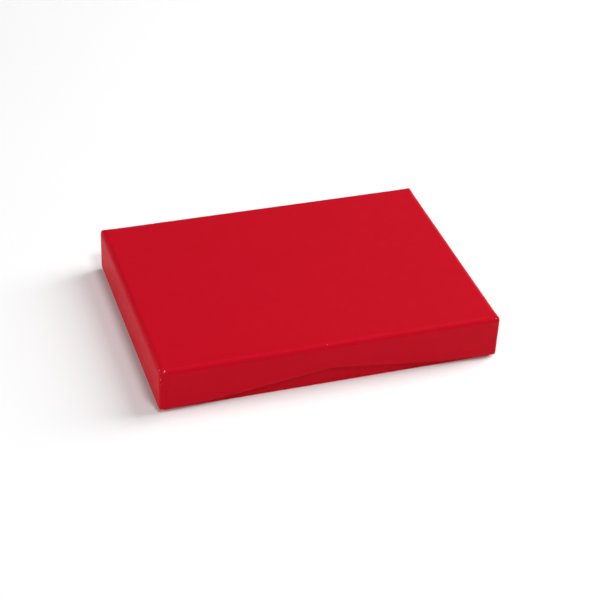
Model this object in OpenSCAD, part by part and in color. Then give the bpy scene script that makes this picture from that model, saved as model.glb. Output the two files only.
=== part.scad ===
// Ink pad in a two-piece rigid box.
// A lift-off lid with thumb notches fits over a base tray. Each is greyboard with taped
// corners, covered in coated paper. The base holds a moulded plastic tray, and
// the tray holds an inked pad of two felts under a stretched cloth, kept down by a frame
// that snaps into the tray. The lid lifts straight off.
//
// Origin: centre of the box's underside. +X runs along the long side, +Z is up.
// Everything is drawn closed. Millimetres.

/* [Box] */
// Length of the closed box, along X
lid_w = 117.5; // [112:0.5:130]
// Width of the closed box, along Y
lid_d = 85.7; // [80:0.1:98]
// Height of the closed box
closed_h = 17; // [15.5:0.1:19]
// Outside radius of the lid's upright corners
corner_r = 1; // [0.6:0.1:1.5]
// Gap between the lid's skirt and the base's wall, on each side
fit_gap = 0.3; // [0.2:0.05:0.5]
// Height of the skirt's rim above the table
rim_lift = 1.5; // [0.2:0.1:1.6]
// Gap left between the base's rim and the inside of the lid
seat_gap = 0.05; // [0.05:0.05:0.3]

/* [Board and paper] */
// Thickness of the greyboard
board_t = 0.8; // [0.6:0.1:1]
// Thickness of the covering paper and its glue
wrap_t = 0.15; // [0.1:0.05:0.2]
// Thickness of the lining paper
liner_t = 0.15; // [0.1:0.05:0.2]
// Thickness of the tape pressed into the board at each corner
stay_t = 0.1; // [0.05:0.05:0.2]
// How far the corner tape runs from the corner, along each side
stay_leg = 12; // [6:0.5:16]
// Distance from the corner tape's ends to the board's rim and fold
stay_inset = 1.5; // [1:0.1:3]
// How far the lid's covering paper is turned in over its rim
lid_turn_in = 8; // [7:0.5:11]
// How far the base's covering paper is turned in over its rim
base_turn_in = 9; // [6:0.5:10]

/* [Thumb notch] */
// Length of each notch along the skirt's rim
notch_span = 108; // [90:1:108]
// Height above the rim at which the two straight flanks would meet
notch_rise = 6.1; // [5.5:0.1:7]
// Fall of a straight flank for each millimetre along it
notch_slope = 0.135; // [0.125:0.005:0.16]
// Half the length of the rounded peak
notch_peak = 5; // [2:0.5:10]
// Distance from the middle at which a flank begins to flare into the rim
notch_flare_from = 30; // [20:1:36]

/* [Pad tray] */
// Gap between the plastic tray and the inside of the base, on each side
tray_gap = 0.5; // [0.3:0.1:1]
// Wall and floor thickness of the plastic tray
tray_wall = 1.2; // [1:0.1:1.4]
// Width of the deck around the well that holds the pad
deck_w = 6; // [5.8:0.1:8]
// Outside radius of the tray's upright corners
tray_r = 2.5; // [1.5:0.1:4]
// Thickness of the foam tape that holds the tray down
tape_t = 3; // [2:0.1:3.4]
// Length of each strip of foam tape, along Y
tape_l = 56; // [40:1:60]
// Width of each strip of foam tape
tape_w = 12; // [8:1:20]
// Distance of each strip of foam tape from the middle
tape_x = 34; // [28:1:38]
// Distance between the stiffening ribs under the tray's well
rib_pitch = 17; // [12:1:18]

/* [Pad] */
// Thickness of the pad's woven cloth cover
cloth_t = 0.3; // [0.2:0.05:0.4]
// How far the cloth is turned in under the pad's backing card
cloth_hem = 8; // [5:0.5:12]
// Thickness of the backing card
backing_t = 1; // [0.8:0.1:1.2]
// Thickness of the lower felt
felt_lower_t = 3; // [2.5:0.1:3.4]
// Gap between the pad's inked surface and the inside of the closed lid
head_gap = 1.4; // [1:0.1:2]
// How far the raised inked surface is set in from the pad's sides
shoulder_w = 3; // [2.5:0.1:4]
// Gap between the pad and the wall of the tray's well
pad_gap = 0.4; // [0.2:0.05:0.6]
// Radius of the pad's upright corners
pad_r = 2; // [1.5:0.1:3]

/* [Frame] */
// Thickness of the frame round the pad, above the deck
frame_t = 1.2; // [0.8:0.1:1.4]
// Width of deck left showing outside the frame
frame_margin = 1.5; // [1:0.1:1.8]
// How far the frame's lip reaches down beside the pad
lip_h = 0.8; // [0.5:0.1:1]
// Width of each snap leg
leg_w = 6; // [4:0.5:8]
// Thickness of each snap leg
leg_t = 1; // [0.8:0.1:1.2]
// How far each snap leg reaches below the deck's top
leg_h = 2.6; // [2.2:0.1:3]
// How far each leg's barb hooks under the deck
barb = 0.4; // [0.3:0.05:0.5]
// Distance of the long sides' snap legs from the middle
leg_x = 30; // [20:1:38]

/* [Hidden] */
$fn = 48;
// How far a cutting solid runs past the faces that it opens
over = 1;
// Clearance between the felts and the cloth stretched round them
soft_gap = 0.05;
// Clearance of a moulded piece in the opening that takes it
mould_gap = 0.2;
// Gap between the frame's lip and the cloth on the pad's shoulder
lip_gap = 0.1;

// The lid's board, and the clear space inside the lid
lid_board_w = lid_w - 2 * wrap_t;
lid_board_d = lid_d - 2 * wrap_t;
lid_board_z0 = rim_lift + wrap_t;
lid_board_z1 = closed_h - wrap_t;
lid_ceiling_z = lid_board_z1 - board_t;
lid_under_z = lid_ceiling_z - liner_t;
lid_in_w = lid_board_w - 2 * board_t - 2 * wrap_t;
lid_in_d = lid_board_d - 2 * board_t - 2 * wrap_t;

// The base's outside, its board, and the clear space inside it
base_w = lid_in_w - 2 * fit_gap;
base_d = lid_in_d - 2 * fit_gap;
base_r = corner_r - wrap_t;
base_h = lid_under_z - seat_gap;
base_board_w = base_w - 2 * wrap_t;
base_board_d = base_d - 2 * wrap_t;
base_floor_z = wrap_t + board_t;
base_in_w = base_board_w - 2 * board_t - 2 * wrap_t;
base_in_d = base_board_d - 2 * board_t - 2 * wrap_t;
floor_z = base_floor_z + liner_t;

// The plastic tray and its well
tray_w = base_in_w - 2 * tray_gap;
tray_d = base_in_d - 2 * tray_gap;
well_w = tray_w - 2 * deck_w;
well_d = tray_d - 2 * deck_w;
well_r = pad_r + pad_gap;
tub_z = floor_z + tape_t;
well_z = tub_z + tray_wall;

// The pad, from its hem up to its inked surface
pad_w = well_w - 2 * pad_gap;
pad_d = well_d - 2 * pad_gap;
backing_z = well_z + cloth_t;
felt_lower_z = backing_z + backing_t;
felt_upper_z = felt_lower_z + felt_lower_t;
shoulder_z = felt_upper_z + cloth_t;
pad_top_z = lid_under_z - head_gap;
crown_w = pad_w - 2 * shoulder_w;
crown_d = pad_d - 2 * shoulder_w;

// The deck and the frame on it
deck_z = shoulder_z + lip_gap + lip_h;
frame_w = tray_w - 2 * frame_margin;
frame_d = tray_d - 2 * frame_margin;
frame_r = tray_r - frame_margin / 2;
opening_w = crown_w + 2 * pad_gap;
opening_d = crown_d + 2 * pad_gap;
// Distance from the well's edge to a snap leg's inner face
leg_in = (deck_w - leg_t) / 2;

// The notch's edge, between its two ends
notch_half = notch_span / 2;
flare_steps = 6;
peak_steps = 10;
flare_l = notch_half - notch_flare_from;
flare_k = -flank(notch_half) / pow(flare_l, 2);
notch_xs = concat(
    [for (i = [0 : flare_steps]) -notch_half + i * flare_l / flare_steps],
    [for (i = [0 : peak_steps]) notch_peak * (2 * i / peak_steps - 1)],
    [for (i = [0 : flare_steps]) notch_flare_from + i * flare_l / flare_steps]
);

// Height above the rim of a notch's straight flank, at distance a from the middle
function flank(a) = notch_rise - notch_slope * a;

// Height above the rim of the notch's edge: rounded peak, straight flank, then flare
function notch_edge(a) =
    a < notch_peak ? flank(notch_peak) + notch_slope * (pow(notch_peak, 2) - a * a) / (2 * notch_peak)
    : a > notch_flare_from ? flank(a) + flare_k * pow(a - notch_flare_from, 2)
    : flank(a);

// Block centred on the Z axis between two heights
module plate(w, d, z0, z1) {
    translate([-w / 2, -d / 2, z0])
        cube([w, d, z1 - z0]);
}

// Block with rounded upright corners, centred on the Z axis between two heights
module rounded_plate(w, d, r, z0, z1) {
    translate([0, 0, z0])
        linear_extrude(height = z1 - z0)
            union() {
                square([w - 2 * r, d], center = true);
                square([w, d - 2 * r], center = true);
                for (sx = [-1, 1])
                    for (sy = [-1, 1])
                        translate([sx * (w / 2 - r), sy * (d / 2 - r)])
                            circle(r = r);
            }
}

// What both thumb notches take out of the skirt, with their edge raised by lift
module notches(lift) {
    rotate([90, 0, 0])
        linear_extrude(height = lid_d + 2 * over, center = true)
            polygon(concat(
                [for (x = notch_xs) [x, rim_lift + lift + notch_edge(abs(x))]],
                [[notch_half, -over], [-notch_half, -over]]
            ));
}

// Tape bent round one upright corner of a board, flush with the board's outside
module corner_stay(w, d, r, z0, z1, side_x, side_y) {
    intersection() {
        difference() {
            rounded_plate(w, d, r, z0, z1);
            rounded_plate(w - 2 * stay_t, d - 2 * stay_t, r - stay_t, z0 - over, z1 + over);
        }
        translate([side_x * w / 2, side_y * d / 2, 0])
            plate(2 * stay_leg, 2 * stay_leg, z0 - over, z1 + over);
    }
}

// The lid's paper and board together, open below
module lid_form() {
    difference() {
        rounded_plate(lid_w, lid_d, corner_r, rim_lift, closed_h);
        plate(lid_in_w, lid_in_d, rim_lift - over, lid_ceiling_z);
        notches(0);
    }
}

// The lid's board before its corners are taped
module lid_board_form() {
    difference() {
        rounded_plate(lid_board_w, lid_board_d, corner_r - wrap_t, lid_board_z0, lid_board_z1);
        plate(lid_board_w - 2 * board_t, lid_board_d - 2 * board_t, lid_board_z0 - over, lid_ceiling_z);
        notches(wrap_t);
    }
}

module lid_stay_form(side_x, side_y) {
    corner_stay(lid_board_w, lid_board_d, corner_r - wrap_t,
        lid_board_z0 + stay_inset, lid_board_z1 - stay_inset, side_x, side_y);
}

module lid_wrap() {
    color([0.78, 0.08, 0.14])
        difference() {
            lid_form();
            lid_board_form();
            plate(lid_board_w - 2 * board_t, lid_board_d - 2 * board_t,
                rim_lift + lid_turn_in, lid_ceiling_z);
        }
}

module lid_board() {
    color([0.56, 0.53, 0.48])
        difference() {
            lid_board_form();
            for (sx = [-1, 1])
                for (sy = [-1, 1])
                    lid_stay_form(sx, sy);
        }
}

module lid_liner() {
    color([0.93, 0.92, 0.89])
        plate(lid_in_w, lid_in_d, lid_under_z, lid_ceiling_z);
}

module lid_corner_stay(side_x, side_y) {
    color([0.72, 0.6, 0.44])
        lid_stay_form(side_x, side_y);
}

// The base's paper and board together, open above
module base_form() {
    difference() {
        rounded_plate(base_w, base_d, base_r, 0, base_h);
        plate(base_in_w, base_in_d, base_floor_z, base_h + over);
    }
}

// The base's board before its corners are taped
module base_board_form() {
    difference() {
        rounded_plate(base_board_w, base_board_d, base_r - wrap_t, wrap_t, base_h - wrap_t);
        plate(base_board_w - 2 * board_t, base_board_d - 2 * board_t, base_floor_z, base_h);
    }
}

module base_stay_form(side_x, side_y) {
    corner_stay(base_board_w, base_board_d, base_r - wrap_t,
        wrap_t + stay_inset, base_h - wrap_t - stay_inset, side_x, side_y);
}

module base_wrap() {
    color([0.78, 0.08, 0.14])
        difference() {
            base_form();
            base_board_form();
            plate(base_board_w - 2 * board_t, base_board_d - 2 * board_t,
                base_floor_z, base_h - base_turn_in);
        }
}

module base_board() {
    color([0.56, 0.53, 0.48])
        difference() {
            base_board_form();
            for (sx = [-1, 1])
                for (sy = [-1, 1])
                    base_stay_form(sx, sy);
        }
}

module base_liner() {
    color([0.93, 0.92, 0.89])
        plate(base_in_w, base_in_d, base_floor_z, floor_z);
}

module base_corner_stay(side_x, side_y) {
    color([0.72, 0.6, 0.44])
        base_stay_form(side_x, side_y);
}

module tray_tape(side) {
    color([0.9, 0.9, 0.87])
        translate([side * tape_x, 0, 0])
            plate(tape_w, tape_l, floor_z, tub_z);
}

// One of the six places where the frame snaps into the deck. Its children are drawn
// with X outwards from the well's edge and Y along it.
module at_snaps() {
    for (side = [0, 180])
        rotate([0, 0, side]) {
            translate([well_w / 2, 0, 0])
                children();
            for (sx = [-1, 1])
                translate([sx * leg_x, well_d / 2, 0])
                    rotate([0, 0, 90])
                        children();
        }
}

// The hollow under the deck and round the tub, with the stiffening ribs left in
module tray_underside() {
    difference() {
        rounded_plate(tray_w - 2 * tray_wall, tray_d - 2 * tray_wall, tray_r - tray_wall,
            floor_z - over, deck_z - tray_wall);
        rounded_plate(well_w + 2 * tray_wall, well_d + 2 * tray_wall, well_r + tray_wall,
            tub_z, deck_z);
        for (i = [-1 : 1])
            translate([i * rib_pitch, 0, 0])
                plate(tray_wall, well_d, floor_z, tub_z + tray_wall / 2);
    }
}

module pad_tray() {
    color([0.09, 0.09, 0.1])
        difference() {
            rounded_plate(tray_w, tray_d, tray_r, floor_z, deck_z);
            tray_underside();
            rounded_plate(well_w, well_d, well_r, well_z, deck_z + over);
            at_snaps()
                translate([leg_in + (leg_t + mould_gap) / 2 - mould_gap, 0, 0])
                    plate(leg_t + mould_gap, leg_w + 2 * mould_gap, deck_z - tray_wall - over, deck_z + over);
        }
}

module pad_backing() {
    color([0.74, 0.69, 0.6])
        rounded_plate(pad_w - 2 * cloth_t - 2 * soft_gap, pad_d - 2 * cloth_t - 2 * soft_gap,
            pad_r - cloth_t - soft_gap, backing_z, felt_lower_z);
}

module felt_lower() {
    color([0.5, 0.03, 0.06])
        rounded_plate(pad_w - 2 * cloth_t - 2 * soft_gap, pad_d - 2 * cloth_t - 2 * soft_gap,
            pad_r - cloth_t - soft_gap, felt_lower_z, felt_upper_z);
}

module felt_upper() {
    color([0.55, 0.03, 0.06])
        rounded_plate(crown_w - 2 * cloth_t - 2 * soft_gap, crown_d - 2 * cloth_t - 2 * soft_gap,
            pad_r - cloth_t - soft_gap, felt_upper_z, pad_top_z - cloth_t);
}

// The cloth follows the pad's stepped outside and is turned in under the backing
module pad_cloth() {
    color([0.62, 0.02, 0.06])
        difference() {
            union() {
                rounded_plate(pad_w, pad_d, pad_r, well_z, shoulder_z);
                rounded_plate(crown_w, crown_d, pad_r, felt_upper_z, pad_top_z);
            }
            rounded_plate(pad_w - 2 * cloth_t, pad_d - 2 * cloth_t, pad_r - cloth_t,
                backing_z, felt_upper_z);
            rounded_plate(crown_w - 2 * cloth_t, crown_d - 2 * cloth_t, pad_r - cloth_t,
                backing_z, pad_top_z - cloth_t);
            rounded_plate(pad_w - 2 * cloth_hem, pad_d - 2 * cloth_hem, pad_r - cloth_t,
                well_z - over, backing_z + over);
        }
}

// A leg with its barb, drawn with X outwards from the well's edge
module snap_leg() {
    translate([leg_in + leg_t / 2, 0, 0])
        plate(leg_t, leg_w, deck_z - leg_h, deck_z + frame_t / 2);
    translate([leg_in + leg_t + barb / 2, 0, 0])
        plate(barb + soft_gap, leg_w, deck_z - leg_h, deck_z - tray_wall - soft_gap);
}

module pad_frame() {
    color([0.08, 0.08, 0.09])
        union() {
            difference() {
                union() {
                    rounded_plate(frame_w, frame_d, frame_r, deck_z, deck_z + frame_t);
                    rounded_plate(well_w - 2 * mould_gap, well_d - 2 * mould_gap, well_r - mould_gap,
                        deck_z - lip_h, deck_z + frame_t / 2);
                }
                rounded_plate(opening_w, opening_d, pad_r + pad_gap, deck_z - lip_h - over,
                    deck_z + frame_t + over);
            }
            at_snaps()
                snap_leg();
        }
}

lid_wrap();
lid_board();
lid_liner();
lid_corner_stay(-1, -1);  // lid_corner_stay_front_left
lid_corner_stay(1, -1);  // lid_corner_stay_front_right
lid_corner_stay(-1, 1);  // lid_corner_stay_back_left
lid_corner_stay(1, 1);  // lid_corner_stay_back_right
base_wrap();
base_board();
base_liner();
base_corner_stay(-1, -1);  // base_corner_stay_front_left
base_corner_stay(1, -1);  // base_corner_stay_front_right
base_corner_stay(-1, 1);  // base_corner_stay_back_left
base_corner_stay(1, 1);  // base_corner_stay_back_right
tray_tape(-1);  // tray_tape_left
tray_tape(1);  // tray_tape_right
pad_tray();
pad_backing();
felt_lower();
felt_upper();
pad_cloth();
pad_frame();
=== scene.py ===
"""The looks of the ink pad: a paper-covered rigid box with an inked felt pad in it.

Every piece of the CAD model gets a finished mesh of its own, in metres, in the CAD model's
frame: the covering paper with its folds, laps and turned-in edges, the boards, the moulded
tray and frame, and the cloth over the felts.
"""

import math
from typing import NamedTuple

import bmesh
import bpy
from mathutils import Matrix, Vector, noise


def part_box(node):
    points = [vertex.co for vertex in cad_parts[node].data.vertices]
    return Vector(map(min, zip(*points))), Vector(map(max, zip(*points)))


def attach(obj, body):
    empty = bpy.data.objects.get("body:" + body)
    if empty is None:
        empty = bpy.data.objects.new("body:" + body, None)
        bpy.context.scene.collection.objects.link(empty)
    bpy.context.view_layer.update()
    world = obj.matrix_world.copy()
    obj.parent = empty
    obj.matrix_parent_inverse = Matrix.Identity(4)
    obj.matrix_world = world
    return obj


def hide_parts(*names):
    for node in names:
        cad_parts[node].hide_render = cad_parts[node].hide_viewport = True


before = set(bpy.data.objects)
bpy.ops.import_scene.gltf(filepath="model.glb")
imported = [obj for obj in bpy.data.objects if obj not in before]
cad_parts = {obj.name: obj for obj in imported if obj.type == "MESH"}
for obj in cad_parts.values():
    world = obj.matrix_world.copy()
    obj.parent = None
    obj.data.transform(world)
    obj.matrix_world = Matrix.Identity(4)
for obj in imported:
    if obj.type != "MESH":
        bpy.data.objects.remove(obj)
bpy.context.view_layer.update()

MM = 0.001

# Camera: where it stands round the box, how far it is tilted, and how long its lens is
CAMERA_AZIMUTH = -19.54
CAMERA_ELEVATION = 35.37
CAMERA_ROLL = 2.88
CAMERA_DISTANCE = 598.7 * MM
CAMERA_TARGET = Vector((0.81, -4.45, 7.95)) * MM
CAMERA_LENS_MM = 104.05
SENSOR_MM = 36.0

# Covering paper: its folds, its laps at the upright corners and its turned-in edges
LID_CORNER_R = 1.0 * MM
LID_FOLD_R = 1.9 * MM
BASE_FOLD_R = 0.6 * MM
RIM_ROUND = 0.25 * MM
INNER_CORNER_R = 0.15 * MM
LID_TURN_IN = 8.0 * MM
BASE_TURN_IN = 9.0 * MM
LAP_T = 0.09 * MM
LAP_FROM_CORNER = 1.7 * MM
LAP_EDGE = 0.06 * MM
LAP_STARTS_BELOW_FOLD = 0.7 * MM
SKIN_GAP = 0.01 * MM

# The share of its radius that the lid's fold keeps at a corner, and how far from there it eases out
CORNER_TIGHTENS = 0.85
CORNER_REACH = 6.0 * MM

# Corner tape between the board and the covering paper, in a shallow bed in the board
TAPE_T = 0.085 * MM
TAPE_BED = 0.1 * MM
STAY_INSET = 1.5 * MM
REBATE_MARGIN = 0.3 * MM

# Thumb notch in each long side of the lid's skirt, as in the CAD model
NOTCH_HALF = 54 * MM
NOTCH_RISE = 6.1 * MM
NOTCH_SLOPE = 0.135
NOTCH_PEAK = 5 * MM
NOTCH_FLARE_FROM = 30 * MM

# How a used box has settled: the skirts bowed out, the lid's panel a little dished
SKIRT_BOW = 0.22 * MM
END_BOW = 0.04 * MM
PANEL_DISH = 0.06 * MM

# Moulded tray and frame, as in the CAD model
TRAY_WALL = 1.2 * MM
DECK_W = 6.0 * MM
RIB_PITCH = 17 * MM
PAD_GAP = 0.4 * MM
MOULD_GAP = 0.2 * MM
SOFT_GAP = 0.05 * MM
SHOULDER_W = 3.0 * MM
LEG_W = 6.0 * MM
LEG_T = 1.0 * MM
LEG_X = 30 * MM
BARB = 0.4 * MM
CLOTH_HEM = 8.0 * MM
CLOTH_CROWN = 0.3 * MM

# Edges between faces that meet at more than this many degrees are shaded as sharp
SHARP_ANGLE = 38


def read_box(node):
    """Half the width and depth of a CAD node centred on the Z axis, and its lowest and highest Z."""
    low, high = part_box(node)
    return high.x, high.y, low.z, high.z


LID_HW, LID_HD, RIM_Z, LID_TOP = read_box("lid_wrap")
*_, LID_BOARD_Z0, LID_BOARD_TOP = read_box("lid_board")
*_, LID_LINER_TOP = read_box("lid_liner")
BASE_HW, BASE_HD, _, BASE_H = read_box("base_wrap")
*_, FLOOR_Z = read_box("base_liner")
WRAP_T = LID_TOP - LID_BOARD_TOP
BOARD_T = LID_BOARD_TOP - LID_LINER_TOP
WALL_T = BOARD_T + 2 * WRAP_T
BASE_CORNER_R = LID_CORNER_R - WRAP_T
TRAY_HW, TRAY_HD, _, DECK_Z = read_box("pad_tray")
FRAME_HW, FRAME_HD, LEG_Z, FRAME_TOP = read_box("pad_frame")
PAD_HW, PAD_HD, WELL_Z, PAD_TOP = read_box("pad_cloth")
FELT_HW, *_, FELT_UPPER_Z = read_box("felt_lower")
CLOTH_T = PAD_HW - FELT_HW - SOFT_GAP
SHOULDER_Z = FELT_UPPER_Z + CLOTH_T


# ---------------------------------------------------------------- mesh building


class Ring(NamedTuple):
    """One turn of a swept form: its inset from the form's outside, its height, and how it is treated."""

    inset: float
    z: float
    r: float = None
    follow: float = 0.0
    lap: float = 0.0
    skin: int = 0
    fold_t: float = None


class Stations(NamedTuple):
    """Where a form's columns stand: shares along the long and the short sides, and steps round a corner."""

    xs: list
    ys: list
    arc: int


def even(count):
    return [i / count for i in range(count + 1)]


def with_laps(shares, length):
    """Puts two columns at each end, in place of any nearer ones: the paper's lap ends between them."""
    near = [LAP_FROM_CORNER / length, (LAP_FROM_CORNER + LAP_EDGE) / length]
    middle = [share for share in shares if near[1] < min(share, 1 - share)]
    return [0.0] + near + middle + [1 - near[1], 1 - near[0], 1.0]


def columns_of(stations):
    """Every column round a form, anticlockwise from the front's left end.

    Each is (side, share of the way along it, whether it is in the corner after that side).
    """
    found = []
    for side in range(4):
        shares = stations.ys if side % 2 else stations.xs
        found += [(side, share, False) for share in shares]
        found += [(side, j / stations.arc, True) for j in range(1, stations.arc)]
    return found


def column_point(column, half_w, half_d, r):
    side, share, corner = column
    a = half_w - r
    b = half_d - r
    if corner:
        angle = math.radians(90) * (side - 1 + share)
        cx = a if side in (0, 1) else -a
        cy = b if side in (1, 2) else -b
        return cx + r * math.cos(angle), cy + r * math.sin(angle)
    along = 2 * share - 1
    return [(along * a, -half_d), (half_w, along * b), (-along * a, half_d), (-half_w, -along * b)][side]


def upright(x, y, ring, column):
    return Vector((x, y, ring.z))


def cap(bm, turn, half_w, half_d, r, ring, stations, place):
    """Closes a turn with a grid that meets the turn's own columns, so that the panel can be shaped."""
    a = half_w - r
    b = half_d - r
    nx = len(stations.xs) - 1
    ny = len(stations.ys) - 1
    grid = [
        [bm.verts.new(place((2 * sx - 1) * a, (2 * sy - 1) * b, ring, None)) for sy in stations.ys]
        for sx in stations.xs
    ]
    faces = []
    for i in range(nx):
        for j in range(ny):
            faces.append((grid[i][j], grid[i + 1][j], grid[i + 1][j + 1], grid[i][j + 1]))
    border = [
        [grid[i][0] for i in range(nx + 1)],
        [grid[nx][j] for j in range(ny + 1)],
        [grid[nx - i][ny] for i in range(nx + 1)],
        [grid[0][ny - j] for j in range(ny + 1)],
    ]
    start = 0
    for edge in border:
        for i in range(len(edge) - 1):
            faces.append((turn[start + i], turn[start + i + 1], edge[i + 1], edge[i]))
        last = start + len(edge) - 1
        for j in range(stations.arc):
            faces.append((turn[last + j], turn[(last + j + 1) % len(turn)], edge[-1]))
        start = last + stations.arc
    for corners in faces:
        bm.faces.new(corners).material_index = ring.skin


def sweep(name, half_w, half_d, corner_r, rings, stations, place=upright, closed=False):
    """A closed mesh swept round a rounded rectangle through its rings, in order."""
    bm = bmesh.new()
    columns = columns_of(stations)
    turns = []
    outlines = []
    for ring in rings:
        r = max(corner_r - ring.inset, INNER_CORNER_R) if ring.r is None else ring.r
        hw = half_w - ring.inset
        hd = half_d - ring.inset
        outlines.append((hw, hd, r))
        turns.append([bm.verts.new(place(*column_point(c, hw, hd, r), ring, c)) for c in columns])
    pairs = list(zip(turns, turns[1:], rings))
    if closed:
        pairs.append((turns[-1], turns[0], rings[-1]))
    for low, high, ring in pairs:
        for i in range(len(columns)):
            j = (i + 1) % len(columns)
            bm.faces.new((low[i], low[j], high[j], high[i])).material_index = ring.skin
    if not closed:
        for end in (0, -1):
            cap(bm, turns[end], *outlines[end], rings[end], stations, place)
    return mesh_object(name, bm)


def mesh_object(name, bm):
    """Turns a finished bmesh into an object with outward faces and smooth shading between sharp edges."""
    bmesh.ops.recalc_face_normals(bm, faces=bm.faces)
    mesh = bpy.data.meshes.new(name)
    bm.to_mesh(mesh)
    bm.free()
    mesh.polygons.foreach_set("use_smooth", [True] * len(mesh.polygons))
    mesh.set_sharp_from_angle(angle=math.radians(SHARP_ANGLE))
    obj = bpy.data.objects.new(name, mesh)
    bpy.context.scene.collection.objects.link(obj)
    return obj


def block(name, centre, size, bevel):
    """A bevelled bar, used only as a detail that is joined to a larger moulding."""
    bm = bmesh.new()
    bmesh.ops.create_cube(bm, size=1.0)
    bmesh.ops.scale(bm, vec=Vector(size), verts=bm.verts)
    bmesh.ops.translate(bm, vec=Vector(centre), verts=bm.verts)
    bmesh.ops.bevel(bm, geom=bm.edges[:], offset=bevel, segments=2, profile=0.5, affect="EDGES")
    return mesh_object(name, bm)


def combine(obj, others, operation):
    """Joins other closed meshes to obj, or cuts them out of it, and removes them."""
    for other in others:
        step = obj.modifiers.new("combine", "BOOLEAN")
        step.operation = operation
        step.solver = "EXACT"
        step.object = other
    bpy.context.view_layer.update()
    result = bpy.data.meshes.new_from_object(obj.evaluated_get(bpy.context.evaluated_depsgraph_get()))
    obj.modifiers.clear()
    obj.data = result
    obj.data.name = obj.name
    for other in others:
        bpy.data.objects.remove(other)


def line_rings(inset0, z0, inset1, z1, steps, ends=(True, True), follow=(0.0, 0.0), **extra):
    """Rings along a straight stretch of the form's section."""
    found = []
    for i in range(steps + 1):
        share = i / steps
        if (i == 0 and not ends[0]) or (i == steps and not ends[1]):
            continue
        found.append(
            Ring(
                inset0 + (inset1 - inset0) * share,
                z0 + (z1 - z0) * share,
                follow=follow[0] + (follow[1] - follow[0]) * share,
                **extra,
            )
        )
    return found


def set_wear_and_glint(obj, half_w, half_d, fold_z, rounded):
    """Stores how exposed each point is: most at the box's corners, less on its folds, none on panels.

    A fold's rounding keeps its paper off the box's sharp outline, so that distance is taken off.
    """
    edge_reach = 0.7 * MM
    corner_reach = 1.6 * MM
    values = []
    for vertex in obj.data.vertices:
        x, y, z = vertex.co
        gaps = (half_w - abs(x), half_d - abs(y), abs(fold_z - z))
        near = sorted(max(gap - rounded, 0) for gap in gaps)
        values.append(0.5 * math.exp(-near[1] / edge_reach) + 0.5 * math.exp(-near[2] / corner_reach))
    attribute = obj.data.attributes.new("wear_and_glint", "FLOAT", "POINT")
    attribute.data.foreach_set("value", values)


# ---------------------------------------------------------------- the lid's shape


def notch_rise(x):
    """Height of the thumb notch's edge above the skirt's rim, at x along the long side."""
    a = abs(x)
    if a >= NOTCH_HALF:
        return 0.0
    flank = NOTCH_RISE - NOTCH_SLOPE * a
    if a < NOTCH_PEAK:
        at_peak = NOTCH_RISE - NOTCH_SLOPE * NOTCH_PEAK
        return at_peak + NOTCH_SLOPE * (NOTCH_PEAK**2 - a * a) / (2 * NOTCH_PEAK)
    if a > NOTCH_FLARE_FROM:
        end = NOTCH_RISE - NOTCH_SLOPE * NOTCH_HALF
        return flank - end * ((a - NOTCH_FLARE_FROM) / (NOTCH_HALF - NOTCH_FLARE_FROM)) ** 2
    return flank


def lap_of(column, half_w):
    """How far a column lies below the paper that laps the long sides: 1 by the corner, 0 beyond."""
    if column is None:
        return 0.0
    side, share, corner = column
    if side in (1, 3):
        return share if corner else 0.0
    if corner:
        return 1 - share
    beyond = min(share, 1 - share) * 2 * half_w
    return 1.0 if beyond < LAP_FROM_CORNER + LAP_EDGE / 2 else 0.0


def settled(x, y, z):
    """Moves a point of the lid from where it was made to where handling has left it."""
    down = max(LID_TOP - z, 0) / (LID_TOP - RIM_Z)
    spread = down**1.5
    along_x = math.cos(math.pi / 2 * min(abs(x) / LID_HW, 1))
    along_y = math.cos(math.pi / 2 * min(abs(y) / LID_HD, 1))
    edge_y = max((abs(y) / LID_HD - 0.9) / 0.1, 0)
    edge_x = max((abs(x) / LID_HW - 0.9) / 0.1, 0)
    new_y = y + math.copysign(SKIRT_BOW * spread * along_x * edge_y, y)
    new_x = x + math.copysign(END_BOW * spread * along_y * edge_x, x)
    dish = PANEL_DISH * (1 - min(x / LID_HW, 1) ** 2) * (1 - min(y / LID_HD, 1) ** 2)
    return Vector((new_x, new_y, z - dish * (1 - down)))


def lid_place(x, y, ring, column):
    x, y, down = tightened(x, y, LID_HW, LID_HD, ring, column)
    z = LID_TOP - down
    if column is not None and not column[2] and column[0] in (0, 2):
        z += ring.follow * notch_rise(x)
    y -= math.copysign(LAP_T * ring.lap * lap_of(column, LID_HW), y)
    return settled(x, y, z)


LID_STATIONS = Stations(with_laps(even(78), 2 * LID_HW), even(56), 6)
BASE_STATIONS = Stations(with_laps(even(76), 2 * BASE_HW), even(54), 6)
LID_H = LID_TOP - RIM_Z
FOLD_STEPS = 6
RIM_STEPS = 3
WALL_STEPS = 10


def fold_rings(t, fold_r, backwards=False, **extra):
    """The rounded fold between a panel and its walls, t inside the covering paper's outside."""
    found = []
    for i in range(FOLD_STEPS + 1):
        angle = math.radians(90) * i / FOLD_STEPS
        inset = t + (fold_r - t) * (1 - math.sin(angle))
        found.append(Ring(inset, t + (fold_r - t) * (1 - math.cos(angle)), fold_t=t, **extra))
    return found[::-1] if backwards else found


def tightened(x, y, half_w, half_d, ring, column):
    """A point of a fold, moved out and up as the fold tightens towards the box's corners."""
    if ring.fold_t is None or column is None:
        return x, y, ring.z
    side, _, corner = column
    from_corner = 0.0 if corner else (half_d - abs(y) if side % 2 else half_w - abs(x))
    share = min(max(from_corner / CORNER_REACH, 0), 1)
    slack = (1 - CORNER_TIGHTENS) * (1 - share * share * (3 - 2 * share))
    out = slack * (ring.inset - ring.fold_t)
    if corner or side % 2:
        x += math.copysign(out, x)
    if corner or not side % 2:
        y += math.copysign(out, y)
    return x, y, ring.z - slack * (ring.z - ring.fold_t)


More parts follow.
